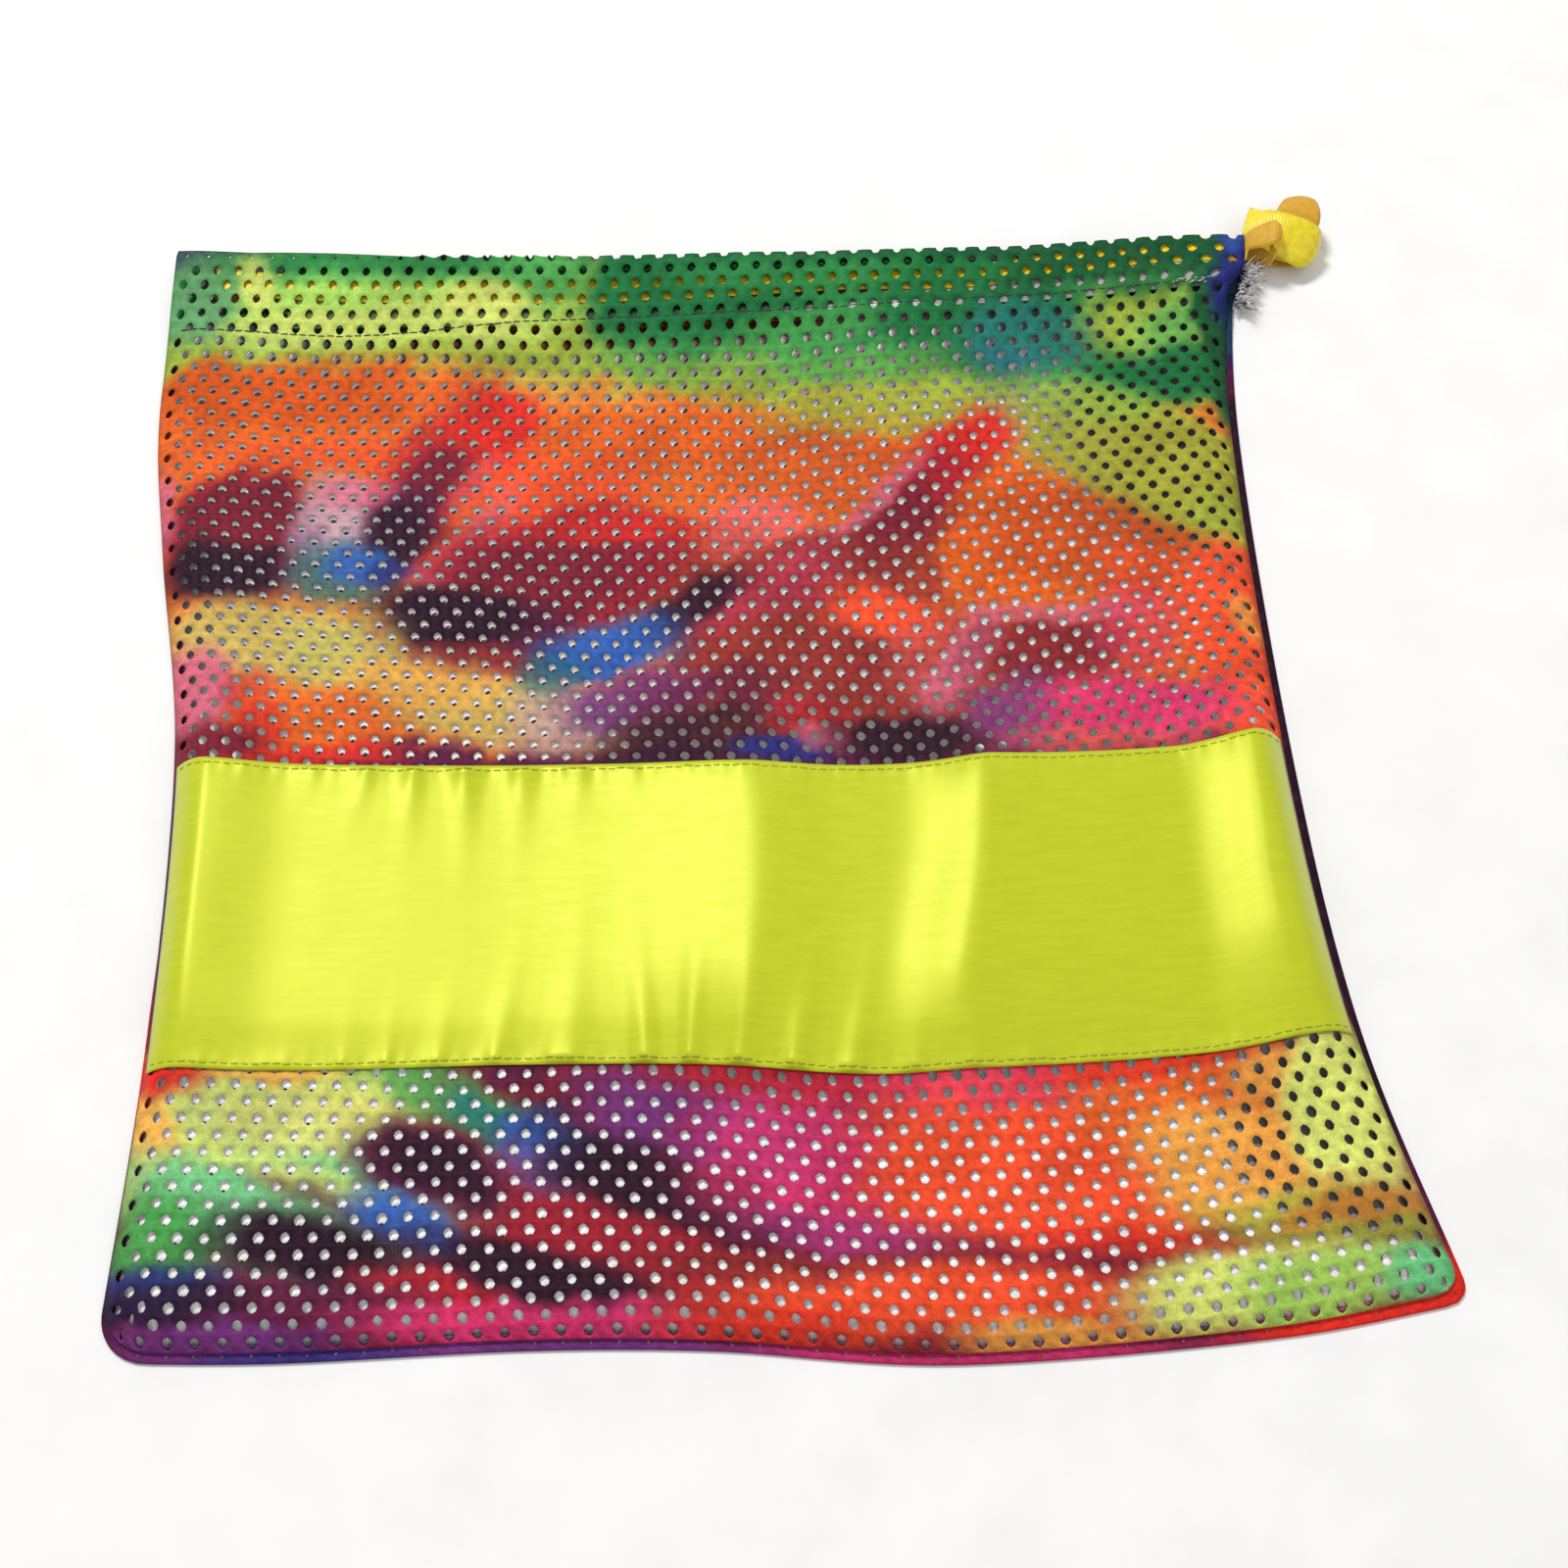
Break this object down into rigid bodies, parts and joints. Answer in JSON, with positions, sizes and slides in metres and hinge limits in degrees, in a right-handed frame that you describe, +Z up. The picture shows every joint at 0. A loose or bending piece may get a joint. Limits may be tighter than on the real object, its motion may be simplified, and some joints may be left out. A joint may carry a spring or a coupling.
{
  "type": "drawstring mesh bag",
  "caption": "Flat drawstring bag of perforated tie-dye mesh with a satin band across the front and a knotted ribbon drawcord at a corner of the mouth.",
  "frame": {"origin": "on the underside of the back panel, at the middle of the bag as it lies flat", "axes": "+X along the mouth towards the drawcord's exit, +Y from the bottom seam to the mouth, +Z up out of the front panel"},
  "size_m": [0.3579, 0.3605, 0.019],
  "materials": {
    "mesh_cloth": "matte perforated knit, tie-dye print",
    "satin": "glossy satin",
    "ribbon": "matte grosgrain",
    "dark_thread": "matte thread",
    "lime_thread": "matte thread"
  },
  "bodies": {
    "bag": {"front_panel": "mesh_cloth", "back_panel": "mesh_cloth", "satin_band": "satin", "band_stitch_top": "lime_thread", "band_stitch_bottom": "lime_thread", "channel_stitch_front": "dark_thread", "channel_stitch_back": "dark_thread", "left_seam_stitch": "dark_thread", "right_seam_stitch": "dark_thread", "bottom_seam_stitch": "dark_thread"},
    "drawcord": {"drawcord_loop": "ribbon", "drawcord_knot": "ribbon", "drawcord_tail_front": "ribbon", "drawcord_tail_rear": "ribbon"}
  },
  "joints": [
    {"name": "drawcord_pull", "type": "slide", "parent": "bag", "child": "drawcord", "axis": [0.9986, 0.0523, 0], "range_m": [0, 0.25], "deforming": ["drawcord_loop"]}
  ]
}
